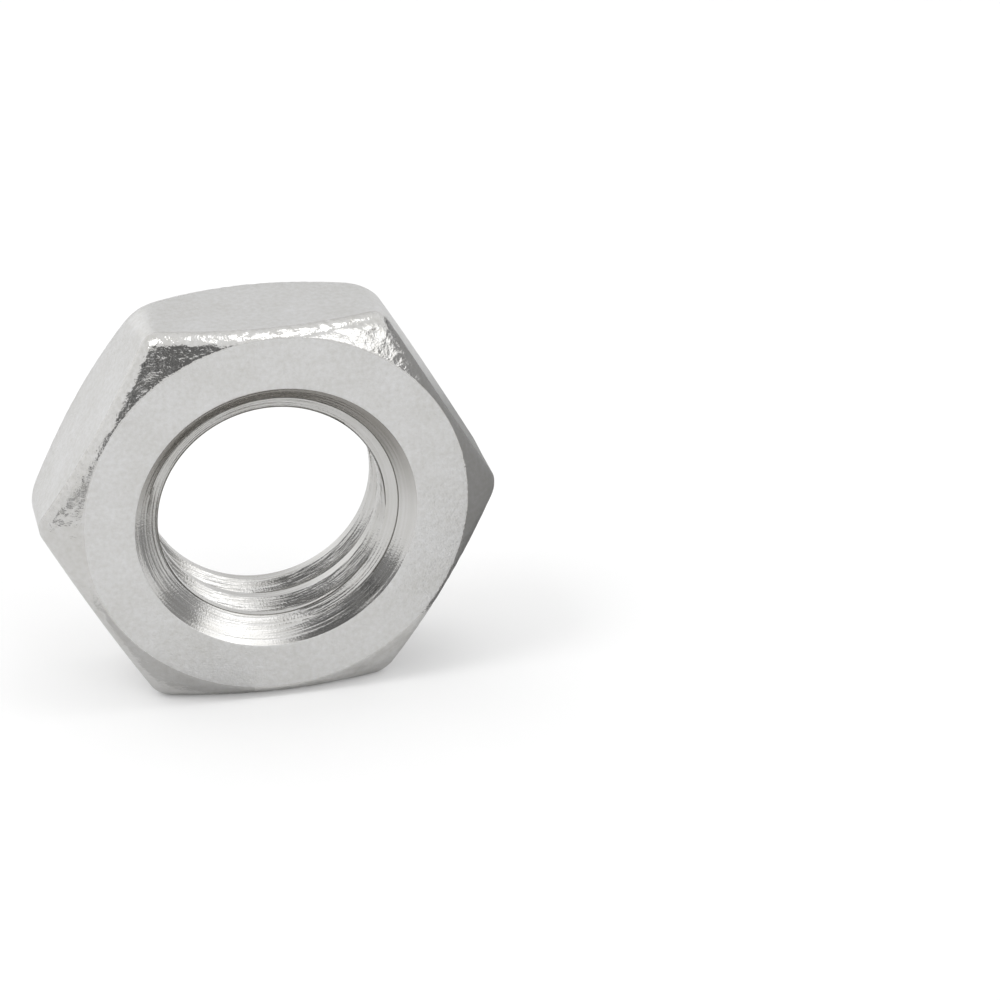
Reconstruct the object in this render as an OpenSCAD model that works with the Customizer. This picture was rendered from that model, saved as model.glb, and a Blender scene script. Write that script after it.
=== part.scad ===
// Thin hexagon nut, chamfered and countersunk on both faces.
// The bore runs along Y through the origin and the nut stands on one of its six flats.
// Millimetres, +Z up, front face towards -Y.

/* [Hexagon] */
// Width across two opposite flats
across_flats = 18; // [16:0.1:20]
// Thickness from face to face
thickness = 5.7; // [4.5:0.1:8]
// Radius of the six upright corners
corner_r = 1.1; // [0.4:0.1:2]

/* [Thread] */
// Nominal diameter of the thread, measured at its roots
thread_d = 12; // [10:0.5:13]
// Distance from one turn of the thread to the next
pitch = 1.75; // [1:0.25:2]
// How much wider than the basic crest circle the bore is drilled
drill_allowance = 0.1; // [0:0.02:0.3]
// Distance from the front face to the middle of the thread's groove, over the corner at +x
first_groove = 1.32; // [1.1:0.02:1.5]
// Angle past that corner at which the groove begins
lead_start = 35; // [0:5:60]
// Angle over which the groove then deepens to its full section
lead_span = 60; // [20:5:120]

/* [Countersinks] */
// How much wider than the thread each countersink opens
sink_over = 0.7; // [0.2:0.1:1.4]
// Full angle of the countersinks
sink_angle = 120; // [90:5:130]

/* [Chamfers] */
// How far the edge of each flat face lies inside the flats
face_inset = 0.35; // [0.2:0.05:0.6]
// Slope of the corner chamfers against the face
chamfer_angle = 30; // [15:1:35]
// Radius that rounds the chamfers into the flats and corners
edge_r = 1; // [0.6:0.1:1.4]

/* [Hidden] */
$fn = 120;

half_flats = across_flats / 2;
half_thick = thickness / 2;

// A metric thread's crests lie 5/8 of its sharp height inside its roots on each side
crest_drop = 2 * 0.625 * cos(30);
bore_r = (thread_d - crest_drop * pitch + drill_allowance) / 2;
sink_r = (thread_d + sink_over) / 2;
sink_depth = (sink_r - bore_r) / tan(sink_angle / 2);

// The groove's section has two flanks and a root flat of an eighth of the pitch, and opens inside the bore
flank_angle = 30;
root_r = thread_d / 2;
half_root = pitch / 8 / 2;
clearance = 0.15 * pitch;
clear_r = bore_r - clearance;

// It is swept backwards in steps, from a tenth of its height at the start until it is past the back face
first_share = 0.1;
groove_step = 10;
turn_past_back = 360 * (thickness - first_groove + pitch / 2) / pitch;
groove_steps = ceil((lead_start + turn_past_back) / groove_step);

// Centres of the corner rounding, and the reach of the rounded corners
corner_centre = (half_flats - corner_r) / cos(30);
corner_reach = corner_centre + corner_r;

// Edge of the flat face, and the depth at which the edge rounding reaches a flat
face_r = half_flats - face_inset;
flat_start = sqrt(2 * edge_r * face_inset - pow(face_inset, 2));

// The rounding at a corner touches both the chamfer cone and the corner's upright edge
arc_r = corner_reach - edge_r;
arc_depth = (arc_r - face_r) * tan(chamfer_angle) + edge_r / cos(chamfer_angle);
cone_end_r = arc_r + edge_r * sin(chamfer_angle);
cone_end_depth = arc_depth - edge_r * cos(chamfer_angle);

over = 1;

// Hexagon with round corners, flats at plus and minus y, corners on the x axis
module rounded_hexagon() {
    circle(r = corner_centre, $fn = 6);
    for (turn = [0, 60, 120])
        rotate(turn)
            square([corner_centre, across_flats], center = true);
    for (turn = [0:60:300])
        rotate(turn)
            translate([corner_centre, 0])
                circle(r = corner_r);
}

// Half section of the turned form: flat face, chamfer cone, rounding, upright corner
module turned_section() {
    polygon([
        [0, -half_thick],
        [face_r, -half_thick],
        [cone_end_r, -half_thick + cone_end_depth],
        [arc_r, -half_thick + arc_depth],
        [arc_r, half_thick - arc_depth],
        [cone_end_r, half_thick - cone_end_depth],
        [face_r, half_thick],
        [0, half_thick]
    ]);
    for (side = [-1, 1])
        translate([arc_r, side * (half_thick - arc_depth)])
            circle(r = edge_r);
    translate([arc_r, arc_depth - half_thick])
        square([edge_r, thickness - 2 * arc_depth]);
}

// Section across two opposite flats, with its four long edges rounded up to the faces
module flats_section() {
    intersection() {
        square([across_flats, thickness], center = true);
        union() {
            square([across_flats, thickness - 2 * flat_start], center = true);
            square([2 * face_r, thickness], center = true);
            for (x = [-1, 1], y = [-1, 1])
                translate([x * (half_flats - edge_r), y * (half_thick - flat_start)])
                    circle(r = edge_r);
        }
    }
}

// A bar as long as the nut is wide, with the section above, lying along x
module flats_bar() {
    rotate([90, 0, 90])
        linear_extrude(height = 2 * corner_reach + 2 * over, center = true)
            flats_section();
}

module blank() {
    intersection() {
        linear_extrude(height = thickness, center = true)
            rounded_hexagon();
        rotate_extrude()
            turned_section();
        flats_bar();
        rotate(60)
            flats_bar();
        rotate(120)
            flats_bar();
    }
}

// Countersink that opens at the upper face
module countersink() {
    translate([0, 0, half_thick - sink_depth])
        cylinder(
            h = sink_depth + over,
            r1 = bore_r,
            r2 = sink_r + over * tan(sink_angle / 2)
        );
}

// Section of the groove at one angle, from its back edge in the bore to its front one
function groove_ring(turn) =
    let (
        share = min(first_share + (lead_start - turn) / lead_span, 1),
        deep_r = clear_r + share * (root_r - clear_r),
        half_mouth = half_root + (deep_r - clear_r) * tan(flank_angle),
        middle = half_thick - first_groove + pitch * turn / 360
    )
    [
        [clear_r * cos(turn), clear_r * sin(turn), middle - half_mouth],
        [deep_r * cos(turn), deep_r * sin(turn), middle - half_root],
        [deep_r * cos(turn), deep_r * sin(turn), middle + half_root],
        [clear_r * cos(turn), clear_r * sin(turn), middle + half_mouth]
    ];

// Helical groove of the right-hand thread
module thread_groove() {
    last = 4 * groove_steps;
    polyhedron(
        points = [for (i = [0:groove_steps]) each groove_ring(lead_start - i * groove_step)],
        faces = [
            [0, 1, 2, 3],
            for (i = [0:groove_steps - 1], j = [0:3])
                let (a = 4 * i + j, b = 4 * i + (j + 1) % 4)
                each [[b, a, b + 4], [b + 4, a, a + 4]],
            [last + 3, last + 2, last + 1, last]
        ]
    );
}

module jam_nut() {
    color([0.78, 0.77, 0.75])
        rotate([90, 0, 0])
            difference() {
                blank();
                cylinder(h = thickness + 2 * over, r = bore_r, center = true);
                thread_groove();
                countersink();
                mirror([0, 0, 1])
                    countersink();
            }
}

jam_nut();
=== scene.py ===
"""Thin hexagon nut in stainless steel, standing on one flat on a white sweep."""
import math

import bmesh
import bpy
from mathutils import Matrix, Vector, noise


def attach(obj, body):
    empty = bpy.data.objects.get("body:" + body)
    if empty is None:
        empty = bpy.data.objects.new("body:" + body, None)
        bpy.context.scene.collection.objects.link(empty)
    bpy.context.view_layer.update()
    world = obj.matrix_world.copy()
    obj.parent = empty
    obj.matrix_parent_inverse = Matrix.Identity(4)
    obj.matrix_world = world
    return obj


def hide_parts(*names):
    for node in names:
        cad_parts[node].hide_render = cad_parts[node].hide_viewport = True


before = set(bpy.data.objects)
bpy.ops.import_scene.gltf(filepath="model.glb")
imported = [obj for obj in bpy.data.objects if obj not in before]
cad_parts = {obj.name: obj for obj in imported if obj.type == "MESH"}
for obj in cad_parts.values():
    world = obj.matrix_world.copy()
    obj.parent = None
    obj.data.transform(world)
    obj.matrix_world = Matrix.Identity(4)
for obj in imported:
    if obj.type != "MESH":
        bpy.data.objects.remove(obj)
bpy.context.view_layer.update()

# Lengths in millimetres. Mesh and lamps are scaled to metres when they are made.
MM = 0.001

# The nut, as the CAD part has it
HALF_FLATS = 9.0
HALF_THICK = 2.85
CORNER_REACH = 10.2221
# Radii of a corner's upright edge and of its rounding into the chamfer, in front and behind
FRONT_CORNER = (1.05, 1.0)
BACK_CORNER = (1.7, 2.0)
FACE_R = 8.61
BACK_FACE_R = 8.65
CHAMFER = math.radians(30)
EDGE_R = 1.0
# Angle at which the rounding ends in a faint crease along the flat
CREASE = math.radians(9)
BORE_R = 5.09
SINK_R = 6.306
SINK_SLOPE = math.tan(math.radians(55))

# The real nut's circles lie a little off its axis: x and z of their centres
FACE_CENTRE = (0.125, 0.135)
SINK_CENTRE = (0.114, -0.036)
BORE_CENTRE = (0.03, -0.1)

# The thread, right-hand: its groove starts in front and goes round towards the back
PITCH = 1.75
ROOT_R = 6.0
HALF_ROOT = PITCH / 8 / 2
FLANK_SLOPE = math.tan(math.radians(30))
FIRST_GROOVE = 1.32
LEAD_START = 35.0
LEAD_SPAN = 60.0
FIRST_SHARE = 0.1
CLEARANCE = 0.15 * PITCH
PASSES = 5

# The ridge that the first turn of the thread leaves in the front countersink
RIDGE_R = 5.71
RIDGE_MIDDLE = 45.0
RIDGE_SPAN = 118.0
RIDGE_FADE = 12.0
# Depth of the trough inside the ridge, and the shares of the way inwards over which it sets in
TROUGH = 0.16
TROUGH_START = (0.08, 0.3)
# Painted shade: the dark line behind the ridge, in the painted shade zone: its width, its swelling at
# +x, its unevenness, and where it ends
RIDGE_SHADE_LINE = 0.06
LINE_SWELL = 1.5
LINE_UNEVEN = 0.3
LINE_END = -38.0

# Lumps left on the chamfers by forming
LUMPS = 0.03
LUMP_SIZE = 0.5

# Small breaks along the edges: their width, and shares of it that each break's points lie out and down
BREAK = 0.045
FACE_BREAK_DOWN = 0.13
SINK_BREAK = ((0.2, 0.3), (-0.6, 1.0))

# The skin's shading breaks where two of its faces meet at more than this
SHARP_ANGLE = math.radians(22)


def smooth(x, low=0.0, high=1.0):
    """Rises from 0 to 1 between low and high, with level ends."""
    t = min(max((x - low) / (high - low), 0.0), 1.0)
    return t * t * (3 - 2 * t)


def wrap(degrees):
    """The same angle between -180 and 180."""
    return (degrees + 180.0) % 360.0 - 180.0


def hexagon_reach(turn, corner_r):
    """Distance from the axis to the rounded hexagon, at an angle in degrees."""
    off = math.radians(abs((turn + 30.0) % 60.0 - 30.0))
    centre = (HALF_FLATS - corner_r) / math.cos(math.radians(30))
    flat = HALF_FLATS / math.cos(math.radians(30) - off)
    side = centre * math.sin(off)
    arc = centre * math.cos(off) + math.sqrt(max(corner_r ** 2 - side ** 2, 0.0))
    touch = math.atan2(
        corner_r * math.sin(math.radians(30)),
        centre + corner_r * math.cos(math.radians(30)),
    )
    return min(arc if off < touch else flat, CORNER_REACH)


def ring(turn, radius, centre):
    """Distance from the axis to a circle that lies off it, at an angle in degrees."""
    angle = math.radians(turn)
    along = centre[0] * math.cos(angle) + centre[1] * math.sin(angle)
    across = centre[0] * math.sin(angle) - centre[1] * math.cos(angle)
    return along + math.sqrt(radius ** 2 - across ** 2)


def edge_profile(turn, face_r, corner, steps):
    """Points (radius, depth) from the face over the chamfer to the start of the flat."""
    corner_r, corner_edge_r = corner
    reach = hexagon_reach(turn, corner_r)
    toward_corner = (reach - HALF_FLATS) / (CORNER_REACH - HALF_FLATS)
    edge_r = EDGE_R + (corner_edge_r - EDGE_R) * toward_corner
    centre = reach - edge_r * math.cos(CREASE)
    depth = (centre - face_r) * math.tan(CHAMFER) + edge_r / math.cos(CHAMFER)
    tangent = math.radians(90) - CHAMFER
    touch_r = centre + edge_r * math.cos(tangent)
    if touch_r > face_r:
        start_angle = tangent
        cone = (touch_r - face_r) / math.cos(CHAMFER)
    else:
        start_angle = math.asin(min(depth / edge_r, 1.0))
        cone = 0.0
    arc = edge_r * (start_angle - CREASE)
    points = []
    for i in range(steps + 1):
        run = (cone + arc) * i / steps
        if run < cone:
            points.append((face_r + run * math.cos(CHAMFER), run * math.sin(CHAMFER)))
        else:
            angle = start_angle - (run - cone) / edge_r
            points.append((
                centre + edge_r * math.cos(angle),
                depth - edge_r * math.sin(angle),
            ))
    return points


def groove_section(travel, bore_r):
    """The groove after a travel in degrees: depth of its middle, root radius, half width at the bore."""
    share = min(FIRST_SHARE + (LEAD_START - travel) / LEAD_SPAN, 1.0)
    clear_r = bore_r - CLEARANCE
    deep_r = clear_r + share * (ROOT_R + bore_r - BORE_R - clear_r)
    half_mouth = HALF_ROOT + max(deep_r - bore_r, 0.0) * FLANK_SLOPE
    return FIRST_GROOVE - PITCH * travel / 360.0, max(deep_r, bore_r), half_mouth


def thread_radius(turn, depth, bore_r):
    """Radius of the threaded wall at an angle in degrees and a depth from the front face."""
    radius = bore_r
    for k in range(PASSES):
        middle, deep_r, half_mouth = groove_section(turn - 360.0 * k, bore_r)
        off = abs(depth - middle)
        if off < half_mouth:
            radius = max(radius, deep_r - max(off - HALF_ROOT, 0.0) / FLANK_SLOPE)
    return radius


# Columns of the mesh: how far the close ones reach on each side of a corner, and how many there are
CORNER_HALF = 3.5
CORNER_COLUMNS = 14
SIDE_COLUMNS = 82


def columns():
    """Angles of the mesh's columns in degrees, closer together at the six corners."""
    corner_step = 2 * CORNER_HALF / CORNER_COLUMNS
    side_step = (60.0 - 2 * CORNER_HALF) / SIDE_COLUMNS
    turns = []
    for corner in range(6):
        base = corner * 60.0
        turns += [base - CORNER_HALF + corner_step * i for i in range(CORNER_COLUMNS)]
        turns += [base + CORNER_HALF + side_step * i for i in range(SIDE_COLUMNS)]
    return turns


def lump(turn, radius, depth, size):
    """Noise between -1 and 1 at a place on the nut, with lumps of a given size."""
    angle = math.radians(turn)
    place = Vector((radius * math.cos(angle), depth, radius * math.sin(angle))) / size
    return noise.noise(place)


def place(turn, radius, depth):
    """A point in the shared frame, from an angle, a radius and a depth behind the front face."""
    angle = math.radians(turn)
    return Vector((
        radius * math.cos(angle) * MM,
        (depth - HALF_THICK) * MM,
        radius * math.sin(angle) * MM,
    ))


# Zones of the surface, in this order: where two meet, the strip between them is the later one's
# The last zone is painted shade: a dark colour in the thread's roots, behind the ridge and along the
# bore's edges
SINKS, FACE, CHAMFERS, FLATS, THREAD, PAINTED_SHADE_ZONE = range(6)

# Strips of each part of the section, and shares of the way from the ridge to the thread
CHAMFER_STEPS = 26
FLAT_STEPS = 12
FACE_STEPS = 6
OUTER_SINK_STEPS = 8
INNER_SINK_SHARES = (0.0, 0.04, 0.1, 0.2, 0.35, 0.5, 0.65, 0.8, 0.92)


def face_rows(sink_r, face_r):
    """Rows of the flat face, with close rows beside both of its edges."""
    low, high = sink_r + BREAK, face_r - BREAK
    radii = [low, low + 2 * BREAK]
    radii += [low + (high - low) * i / FACE_STEPS for i in range(1, FACE_STEPS)]
    radii += [high - 2 * BREAK, high]
    return [(radius, 0.0, FACE) for radius in radii]


def chamfer_rows(turn, face_r, corner):
    """Rows from the face's edge to the start of the flat, with the lumps that forming left."""
    edge = edge_profile(turn, face_r, corner, CHAMFER_STEPS)
    rows = [(face_r, BREAK * FACE_BREAK_DOWN, CHAMFERS)]
    for i, (radius, depth) in enumerate(edge[1:], 1):
        sink = 0.0
        if i < CHAMFER_STEPS:
            lumpy = LUMPS * abs(lump(turn, radius, depth, LUMP_SIZE))
            sink = lumpy * math.sin(math.pi * i / CHAMFER_STEPS)
        rows.append((radius - sink, depth + sink, CHAMFERS))
    return rows


def sink_rows(turn, sink_r, depth, ridged):
    """Rows from a countersink's mouth down to just before the depth at which the thread ends."""
    first = 2 * BREAK
    ridge = (sink_r - RIDGE_R) / SINK_SLOPE if ridged else (first + depth) / 2
    there, line = 0.0, 0.0
    if ridged:
        side = wrap(turn - RIDGE_MIDDLE)
        there = 1 - smooth(abs(side), RIDGE_SPAN - RIDGE_FADE, RIDGE_SPAN + RIDGE_FADE)
    if there > 0.5 and wrap(turn) > LINE_END:
        swell = LINE_SWELL * max(math.cos(math.radians(turn)), 0.0)
        line = RIDGE_SHADE_LINE * (1 + swell + LINE_UNEVEN * lump(turn, sink_r, 0, LUMP_SIZE))
    rows = [(sink_r + BREAK * out, BREAK * down, SINKS) for out, down in SINK_BREAK]
    depths = [first + (ridge - first) * i / OUTER_SINK_STEPS for i in range(OUTER_SINK_STEPS)]
    depths += [ridge + (depth - ridge) * share for share in INNER_SINK_SHARES]
    for here in depths:
        share = max((here - ridge) / (depth - ridge), 0.0)
        trough = TROUGH * 2 * there * (1 - share) * smooth(share, *TROUGH_START)
        zone = THREAD if share > 0.0 and ridged else SINKS
        # Painted shade: the dark strip just behind the ridge
        if 0.0 < share < line:
            zone = PAINTED_SHADE_ZONE
        rows.append((sink_r - here * SINK_SLOPE + trough, here, zone))
    return rows


def skin_rows(turn, start, end):
    """Rows from the bore's front edge, round the outside, to its back edge."""
    thick = 2 * HALF_THICK
    sink_r = ring(turn, SINK_R, SINK_CENTRE)
    face_r = ring(turn, FACE_R, FACE_CENTRE)
    front = list(reversed(sink_rows(turn, sink_r, start, True)))
    front += face_rows(sink_r, face_r) + chamfer_rows(turn, face_r, FRONT_CORNER)
    back = list(reversed(sink_rows(turn, SINK_R, thick - end, False)))
    back += face_rows(SINK_R, BACK_FACE_R) + chamfer_rows(turn, BACK_FACE_R, BACK_CORNER)
    back = [(radius, thick - depth, zone) for radius, depth, zone in reversed(back)]
    low, high = front[-1][1], back[0][1]
    widen = back[0][0] - front[-1][0]
    flats = [
        (front[-1][0] + widen * i / FLAT_STEPS, low + (high - low) * i / FLAT_STEPS, FLATS)
        for i in range(1, FLAT_STEPS)
    ]
    return front + flats + back


def thread_ends(turn, bore_r):
    """Depths at which the threaded wall meets the front and the back countersink."""
    front_r = ring(turn, SINK_R, SINK_CENTRE)
    start = (front_r - bore_r) / SINK_SLOPE
    end = 2 * HALF_THICK - (SINK_R - bore_r) / SINK_SLOPE
    while thread_radius(turn, end, bore_r) > SINK_R - (2 * HALF_THICK - end) * SINK_SLOPE + END_STEP:
        end += END_STEP
    return start, end


# Rows of one turn of the thread: shares of the root's half width, of a flank and of a crest
ROOT_SHARES = (0.0, 0.85)
FLANK_SHARES = (0.04, 0.12, 0.35, 0.6, 0.88, 0.95)
CREST_SHARES = (0.0, 0.1, 0.3, 0.5, 0.7, 0.9)
END_STEP = 0.004
# Width of the painted shade line along the bore's back edge
END_SHADE_LINE = 0.1
# Strips of a turn that lie on the root, which take painted shade
ROOT_STRIPS = (6, 7)


def thread_rows(turn, bore_r, start, end):
    """Rows of the threaded wall from front to back, cut off at both countersinks."""
    rows = []
    sections = [groove_section(turn - 360.0 * k, bore_r) for k in range(PASSES)]
    for (middle, deep_r, half_mouth), after in zip(sections, sections[1:]):
        flank = half_mouth - HALF_ROOT
        half = [HALF_ROOT * share for share in ROOT_SHARES]
        half += [HALF_ROOT + flank * share for share in FLANK_SHARES]
        for off in [-x for x in reversed(half)] + half[1:]:
            rows.append(middle + off)
        crest_end = after[0] - after[2]
        crest = crest_end - middle - half_mouth
        rows += [middle + half_mouth + crest * share for share in CREST_SHARES]
    depths = [min(max(depth, start), end - END_SHADE_LINE) for depth in rows] + [end]
    return [(thread_radius(turn, depth, bore_r), depth) for depth in depths]


def add_face(bm, corners, zone):
    """Adds a face, unless rows that run together leave it without area."""
    unique = list(dict.fromkeys(corners))
    if len(unique) > 2:
        bm.faces.new(unique).material_index = zone


def build_mesh():
    """The whole nut as one closed skin: columns round the axis, rows along the section."""
    bm = bmesh.new()
    outer, zones, inner = [], [], []
    for turn in columns():
        bore_r = ring(turn, BORE_R, BORE_CENTRE)
        start, end = thread_ends(turn, bore_r)
        rows = skin_rows(turn, start, end)
        outer.append([bm.verts.new(place(turn, radius, depth)) for radius, depth, _ in rows])
        zones.append([zone for _, _, zone in rows])
        made, last = [], None
        for row in thread_rows(turn, bore_r, start, end):
            if row != last:
                vert = bm.verts.new(place(turn, *row))
            made.append(vert)
            last = row
        inner.append(made)

    count, size, deep = len(outer), len(outer[0]), len(inner[0])
    rows_a_turn = (deep - 1) // (PASSES - 1)
    for j in range(count):
        after = (j + 1) % count
        shift = rows_a_turn if after == 0 else 0
        here, there = outer[j], outer[after]
        for i in range(size - 1):
            add_face(bm, (here[i], there[i], there[i + 1], here[i + 1]), max(zones[j][i:i + 2]))
        for i in range(deep - 2):
            level, below = (max(i + step - shift, 0) for step in (0, 1))
            # Painted shade in the thread's roots
            zone = PAINTED_SHADE_ZONE if i % rows_a_turn in ROOT_STRIPS else THREAD
            corners = (inner[j][i + 1], inner[after][below], inner[after][level], inner[j][i])
            add_face(bm, corners, zone)
        # Painted shade along the bore's back edge and on the strips that join the thread to both
        # countersinks
        add_face(bm, (inner[j][-1], inner[after][-1], inner[after][-2], inner[j][-2]), PAINTED_SHADE_ZONE)
        add_face(bm, (inner[j][0], inner[after][0], there[0], here[0]), PAINTED_SHADE_ZONE)
        add_face(bm, (here[-1], there[-1], inner[after][-1], inner[j][-1]), PAINTED_SHADE_ZONE)

    bmesh.ops.recalc_face_normals(bm, faces=bm.faces)
    mesh = bpy.data.meshes.new("nut_body")
    bm.to_mesh(mesh)
    bm.free()
    return mesh


# Shares of red, green and blue that the colour has where it is dull, and where it is clean
WORN = (0.88, 0.87, 0.84)
CLEAN = (1.09, 1.09, 1.10)

# Painted shade in the countersinks, darker and browner towards the top: its colour, and the heights over
# which it sets in
SHADE_TONE = (0.5, 0.485, 0.465, 1)
SHADE_FROM = -1.0
SHADE_TO = 4.5

# Shares of clouds and specks in the colour, and the spread of the roughness
CLOUD_SHARE = 0.4
SPECK_SHARE = 0.6
ROUGHNESS_SPREAD = (0.75, 1.25)

# Depth of the relief in millimetres, and how much a tool's rings wander along x
RELIEF_DEPTH = 0.02
RING_DRIFT = 0.03

# Grain of the noises in the steel, in millimetres
FINE_GRAIN = 0.09
SPECK_GRAIN = 0.22
CLOUD_GRAIN = 1.6
RING_GRAIN = 0.11
DENT_GRAIN = 0.3


def noise_node(nodes, links, where, grain, detail):
    """Noise with a grain in millimetres."""
    noise_texture = nodes.new("ShaderNodeTexNoise")
    noise_texture.inputs["Scale"].default_value = 1 / (grain * MM)
    noise_texture.inputs["Detail"].default_value = detail
    links.new(where, noise_texture.inputs["Vector"])
    return noise_texture.outputs["Fac"]


def range_node(nodes, links, value, low, high):
    """Stretches the middle half of a noise to a range."""
    spread = nodes.new("ShaderNodeMapRange")
    for name, number in (("From Min", 0.25), ("From Max", 0.75), ("To Min", low), ("To Max", high)):
        spread.inputs[name].default_value = number
    links.new(value, spread.inputs["Value"])
    return spread.outputs["Result"]


def ring_place(nodes, links, where):
    """Radius and depth of the shaded point, so that noise on them makes a tool's rings."""
    flat = nodes.new("ShaderNodeVectorMath")
    flat.operation = "MULTIPLY"
    flat.inputs[1].default_value = (1, 0, 1)
    links.new(where, flat.inputs[0])
    radius = nodes.new("ShaderNodeVectorMath")
    radius.operation = "LENGTH"
    links.new(flat.outputs["Vector"], radius.inputs[0])
    parts = nodes.new("ShaderNodeSeparateXYZ")
    links.new(where, parts.inputs[0])
    turned = nodes.new("ShaderNodeCombineXYZ")
    links.new(radius.outputs["Value"], turned.inputs["X"])
    links.new(parts.outputs["Y"], turned.inputs["Y"])
    slow = math_node(nodes, "MULTIPLY", None, RING_DRIFT)
    links.new(parts.outputs["X"], slow.inputs[0])
    links.new(slow.outputs[0], turned.inputs["Z"])
    return turned.outputs[0]


def paint_shade_above(nodes, links, where, colour, share):
    """The colour, made duller and browner towards the top of the nut, as painted shade."""
    parts = nodes.new("ShaderNodeSeparateXYZ")
    links.new(where, parts.inputs[0])
    height = nodes.new("ShaderNodeMapRange")
    height.interpolation_type = "SMOOTHSTEP"
    height.inputs["From Min"].default_value = SHADE_FROM * MM
    height.inputs["From Max"].default_value = SHADE_TO * MM
    height.inputs["To Max"].default_value = share
    links.new(parts.outputs["Z"], height.inputs["Value"])
    mix = nodes.new("ShaderNodeMix")
    mix.data_type = "RGBA"
    mix.blend_type = "MULTIPLY"
    mix.inputs["B"].default_value = SHADE_TONE
    links.new(height.outputs["Result"], mix.inputs["Factor"])
    links.new(colour, mix.inputs["A"])
    return mix.outputs["Result"]


def tone(colour, shares):
    """A colour with each part multiplied by its share, for a shader's socket."""
    return (*[value * share for value, share in zip(colour, shares)], 1)


def steel(name, colour, roughness, bump, rings, dents, shade_above):
    """Bare steel with clouded colour, uneven roughness, a fine grain, a tool's rings and dents."""
    material = bpy.data.materials.new(name)
    material.use_nodes = True
    nodes, links = material.node_tree.nodes, material.node_tree.links
    shader = nodes["Principled BSDF"]
    shader.inputs["Metallic"].default_value = 1
    where = nodes.new("ShaderNodeTexCoord").outputs["Object"]
    cloud = noise_node(nodes, links, where, CLOUD_GRAIN, 4)
    fine = noise_node(nodes, links, where, FINE_GRAIN, 2)

    tint = nodes.new("ShaderNodeMix")
    tint.data_type = "RGBA"
    tint.inputs["A"].default_value = tone(colour, WORN)
    tint.inputs["B"].default_value = tone(colour, CLEAN)
    if rings > 0:
        speck = noise_node(nodes, links, ring_place(nodes, links, where), RING_GRAIN, 2)
    else:
        speck = noise_node(nodes, links, where, SPECK_GRAIN, 3)
    blend = math_node(nodes, "ADD")
    links.new(range_node(nodes, links, cloud, 0, CLOUD_SHARE), blend.inputs[0])
    links.new(range_node(nodes, links, speck, 0, SPECK_SHARE), blend.inputs[1])
    links.new(blend.outputs[0], tint.inputs["Factor"])
    colour_of = tint.outputs["Result"]
    # Painted shade: darker and browner towards the top, where asked
    if shade_above > 0:
        colour_of = paint_shade_above(nodes, links, where, colour_of, shade_above)
    links.new(colour_of, shader.inputs["Base Color"])
    low, high = (roughness * share for share in ROUGHNESS_SPREAD)
    links.new(range_node(nodes, links, fine, low, high), shader.inputs["Roughness"])

    relief = nodes.new("ShaderNodeBump")
    relief.inputs["Strength"].default_value = bump
    relief.inputs["Distance"].default_value = RELIEF_DEPTH * MM
    height = fine
    for share, place_of, grain in (
        (rings, ring_place(nodes, links, where), RING_GRAIN),
        (dents, where, DENT_GRAIN),
    ):
        if share > 0:
            both = math_node(nodes, "MULTIPLY_ADD", None, share)
            links.new(noise_node(nodes, links, place_of, grain, 2), both.inputs[0])
            links.new(height, both.inputs[2])
            height = both.outputs[0]
    links.new(height, relief.inputs["Height"])
    links.new(relief.outputs["Normal"], shader.inputs["Normal"])
    return material


FACE_COLOUR = (0.725, 0.725, 0.722)
BODY_COLOUR = (0.66, 0.656, 0.647)
# Colour of the painted shade in the thread's roots, behind the ridge and along the bore's edges
PAINTED_SHADE_COLOUR = (0.22, 0.215, 0.20)
# Colour, roughness, bump, and shares of rings, dents and painted shade towards the top of each zone, in
# the zones' order
FINISHES = (
    ("sink_steel", BODY_COLOUR, 0.15, 0.25, 2.0, 0.0, 1.0),
    ("face_steel", FACE_COLOUR, 0.40, 1.0, 0.0, 1.0, 0.0),
    ("chamfer_steel", BODY_COLOUR, 0.13, 0.5, 0.0, 3.0, 0.0),
    ("flat_steel", FACE_COLOUR, 0.36, 0.8, 0.0, 1.0, 0.0),
    ("thread_steel", BODY_COLOUR, 0.16, 0.4, 4.0, 0.0, 0.0),
    ("painted_shade_steel", PAINTED_SHADE_COLOUR, 0.3, 0.4, 4.0, 0.0, 0.0),
)


def make_nut():
    """The nut's skin with its materials, riding on the root body."""
    mesh = build_mesh()
    nut = bpy.data.objects.new("nut_body", mesh)
    bpy.context.collection.objects.link(nut)
    for polygon in mesh.polygons:
        polygon.use_smooth = True
    mesh.set_sharp_from_angle(angle=SHARP_ANGLE)
    for finish in FINISHES:
        mesh.materials.append(steel(*finish))
    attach(nut, "root")
    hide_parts("jam_nut")
    return nut


# The camera, fitted to the photograph's outlines of the nut
AZIMUTH = math.radians(-13.2468)
ELEVATION = math.radians(27.2946)
SHIFT_X, SHIFT_Y = -10.5642, 0.4659
FOCAL_PIXELS = 5374.26
PIXELS_PER_MM = 22.5289
FRAME_PIXELS = 1000
SENSOR = 36.0
CLIP_START, CLIP_END = 0.01, 10


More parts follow.
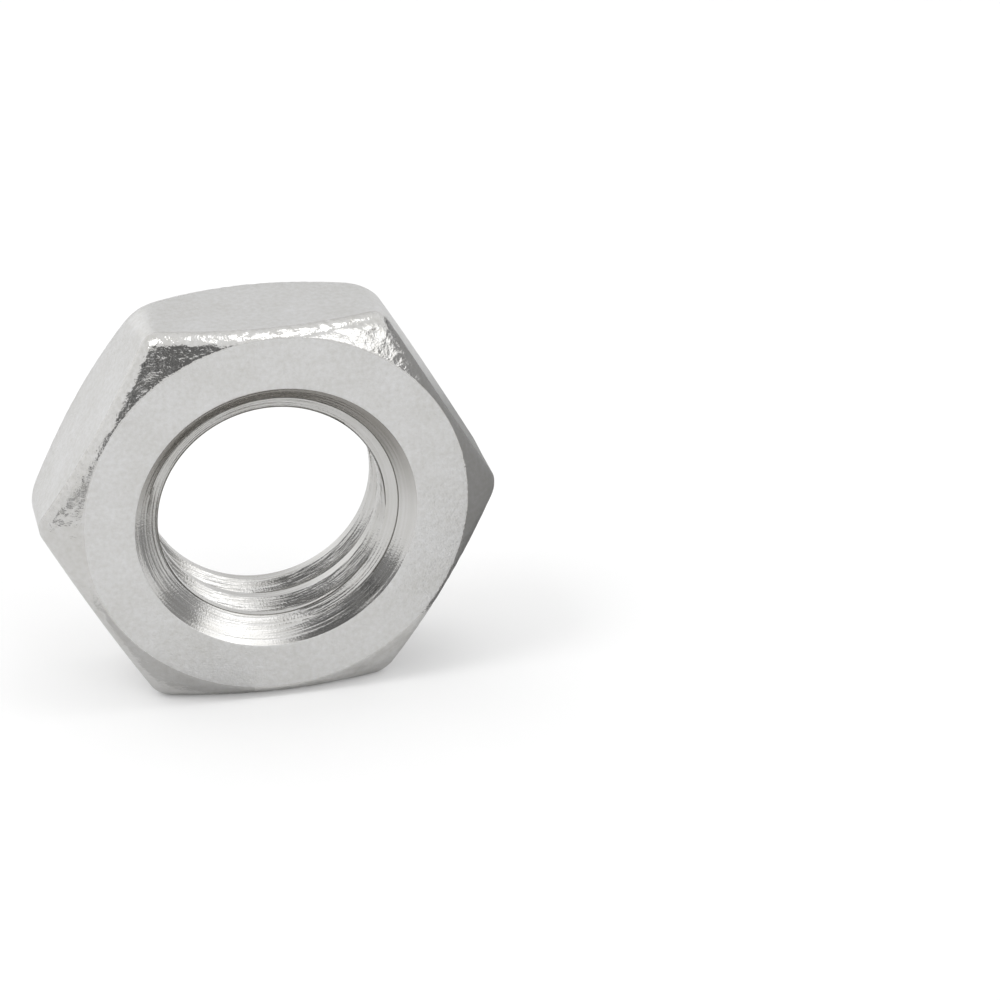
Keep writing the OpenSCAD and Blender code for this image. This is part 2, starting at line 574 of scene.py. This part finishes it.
def make_camera():
    """The camera that took the photograph."""
    data = bpy.data.cameras.new("camera")
    data.sensor_width = SENSOR
    data.lens = FOCAL_PIXELS / FRAME_PIXELS * SENSOR
    data.clip_start = CLIP_START
    data.clip_end = CLIP_END
    camera = bpy.data.objects.new("camera", data)
    bpy.context.collection.objects.link(camera)
    back = Vector((
        math.sin(AZIMUTH) * math.cos(ELEVATION),
        -math.cos(AZIMUTH) * math.cos(ELEVATION),
        math.sin(ELEVATION),
    ))
    right = Vector((math.cos(AZIMUTH), math.sin(AZIMUTH), 0))
    up = back.cross(right)
    turn = Matrix((right, up, back)).transposed().to_4x4()
    spot = -right * SHIFT_X - up * SHIFT_Y + back * (FOCAL_PIXELS / PIXELS_PER_MM)
    camera.matrix_world = Matrix.Translation(spot * MM) @ turn
    bpy.context.scene.camera = camera


def math_node(nodes, operation, *values):
    """A math node with its sockets' values set, apart from those that are None."""
    node = nodes.new("ShaderNodeMath")
    node.operation = operation
    for socket, value in zip(node.inputs, values):
        if value is not None:
            socket.default_value = value
    return node


# Parts of the studio that are darker or brighter than its white tent: direction, change of the light,
# and angles from that direction at which the change is whole and at which it has faded
STUDIO_ZONES = (
    ((-0.2, -0.87, 0.45), -0.84, 12, 18),
    ((-0.56, -0.71, 0.42), -0.78, 8, 14),
    ((0.36, -0.77, 0.53), 0.68, 9, 13),
    ((0.58, -0.70, 0.41), 0.65, 9, 13),
    ((0.90, -0.43, -0.02), -0.65, 20, 28),
    ((-0.74, -0.65, 0.14), -0.75, 11, 19),
    ((0.94, 0.33, 0.10), -0.75, 14, 26),
    ((0.23, 0.85, 0.47), -0.18, 15, 38),
    ((-0.50, 0.84, 0.16), 0.12, 15, 35),
)
TENT = 0.96


def make_world():
    """A white tent with darker and brighter zones, which the camera sees as plain white."""
    world = bpy.data.worlds.new("studio")
    bpy.context.scene.world = world
    world.use_nodes = True
    nodes, links = world.node_tree.nodes, world.node_tree.links
    where = nodes.new("ShaderNodeTexCoord")
    light = None
    for direction, change, inner, outer in STUDIO_ZONES:
        dot = nodes.new("ShaderNodeVectorMath")
        dot.operation = "DOT_PRODUCT"
        dot.inputs[1].default_value = Vector(direction).normalized()
        links.new(where.outputs["Generated"], dot.inputs[0])
        zone = nodes.new("ShaderNodeMapRange")
        zone.interpolation_type = "SMOOTHSTEP"
        zone.inputs["From Min"].default_value = math.cos(math.radians(outer))
        zone.inputs["From Max"].default_value = math.cos(math.radians(inner))
        zone.inputs["To Min"].default_value = 1
        zone.inputs["To Max"].default_value = 1 + change
        links.new(dot.outputs["Value"], zone.inputs["Value"])
        product = math_node(nodes, "MULTIPLY", None, TENT if light is None else None)
        links.new(zone.outputs["Result"], product.inputs[0])
        if light is not None:
            links.new(light.outputs[0], product.inputs[1])
        light = product
    tent = nodes["Background"]
    tent.inputs["Color"].default_value = (1, 1, 1, 1)
    links.new(light.outputs[0], tent.inputs["Strength"])
    plain = nodes.new("ShaderNodeBackground")
    plain.inputs["Color"].default_value = (1, 1, 1, 1)
    plain.inputs["Strength"].default_value = 1
    rays = nodes.new("ShaderNodeLightPath")
    mix = nodes.new("ShaderNodeMixShader")
    links.new(rays.outputs["Is Camera Ray"], mix.inputs["Fac"])
    links.new(tent.outputs[0], mix.inputs[1])
    links.new(plain.outputs[0], mix.inputs[2])
    links.new(mix.outputs[0], nodes["World Output"].inputs["Surface"])


# The floor: its white, the glow that only the camera sees, and half its width in metres
FLOOR_WHITE = 0.8
FLOOR_GLOW = 0.19
FLOOR_HALF = 1.0


def make_floor():
    """A plain white floor that keeps the nut's shadow."""
    mesh = bpy.data.meshes.new("floor")
    corners = [(x * FLOOR_HALF, y * FLOOR_HALF, 0) for x, y in ((-1, -1), (1, -1), (1, 1), (-1, 1))]
    mesh.from_pydata(corners, [], [(0, 1, 2, 3)])
    floor = bpy.data.objects.new("floor", mesh)
    bpy.context.collection.objects.link(floor)
    floor.location.z = -HALF_FLATS * MM
    material = bpy.data.materials.new("white_sweep")
    material.use_nodes = True
    nodes, links = material.node_tree.nodes, material.node_tree.links
    shader = nodes["Principled BSDF"]
    shader.inputs["Base Color"].default_value = (FLOOR_WHITE, FLOOR_WHITE, FLOOR_WHITE, 1)
    shader.inputs["Roughness"].default_value = 1
    shader.inputs["Specular IOR Level"].default_value = 0
    shader.inputs["Emission Color"].default_value = (1, 1, 1, 1)
    rays = nodes.new("ShaderNodeLightPath")
    glow = math_node(nodes, "MULTIPLY", None, FLOOR_GLOW)
    links.new(rays.outputs["Is Camera Ray"], glow.inputs[0])
    links.new(glow.outputs[0], shader.inputs["Emission Strength"])
    mesh.materials.append(material)


# Cards beside the nut, which only reflections show: x at foot and top, ends in y and z, and grey
CARDS = (
    # Stands in for the stack of nuts beside this one and, near its foot, for the shaded floor under the
    # nut's right side: partly painted shade
    ("stack_and_shade_card", (9.5, 22), (-9, 14), (-9, 12), 0.36),
    ("left_card", (-23, -25), (-24, -8), (-4.5, -1), 0.45),
    # Painted shadow: a grey sheet on the floor in front of the nut that stands in for its contact shadow
    # in reflections
    ("painted_shadow_card", (-12, -1), (-6, -2.4), (-8.95, -8.95), 0.6),
)
CARD_CORNERS = ((0, 0), (0, 1), (1, 1), (1, 0))


def make_cards():
    """Cards that a shiny corner needs for its reflections; the low one on the floor is a painted shadow,
    and the one at the right is partly painted shade.
    """
    for name, x, y, z, grey in CARDS:
        mesh = bpy.data.meshes.new(name)
        corners = [(x[up] * MM, y[back] * MM, z[up] * MM) for up, back in CARD_CORNERS]
        mesh.from_pydata(corners, [], [(3, 2, 1, 0)])
        card = bpy.data.objects.new(name, mesh)
        bpy.context.collection.objects.link(card)
        card.visible_camera = False
        card.visible_diffuse = False
        card.visible_shadow = False
        material = bpy.data.materials.new(name)
        material.use_nodes = True
        shader = material.node_tree.nodes["Principled BSDF"]
        shader.inputs["Base Color"].default_value = (grey, grey, grey, 1)
        shader.inputs["Roughness"].default_value = 1
        mesh.materials.append(material)


# Soft lamps: place and aim in millimetres, size, and radiant power in milliwatts
LAMPS = (
    ("key", (-160, -60, 260), 110, 160),
    ("fill", (60, -30, 300), 110, 60),
)


def make_lamps():
    """Lamps that face the nut."""
    for name, spot, size, power in LAMPS:
        data = bpy.data.lights.new(name, "AREA")
        data.shape = "DISK"
        data.size = size * MM
        data.energy = power * MM
        lamp = bpy.data.objects.new(name, data)
        bpy.context.collection.objects.link(lamp)
        lamp.location = Vector(spot) * MM
        lamp.rotation_euler = Vector(spot).to_track_quat("Z", "Y").to_euler()


make_camera()
make_nut()
make_world()
make_floor()
make_cards()
make_lamps()
bpy.context.scene.view_settings.view_transform = "Standard"
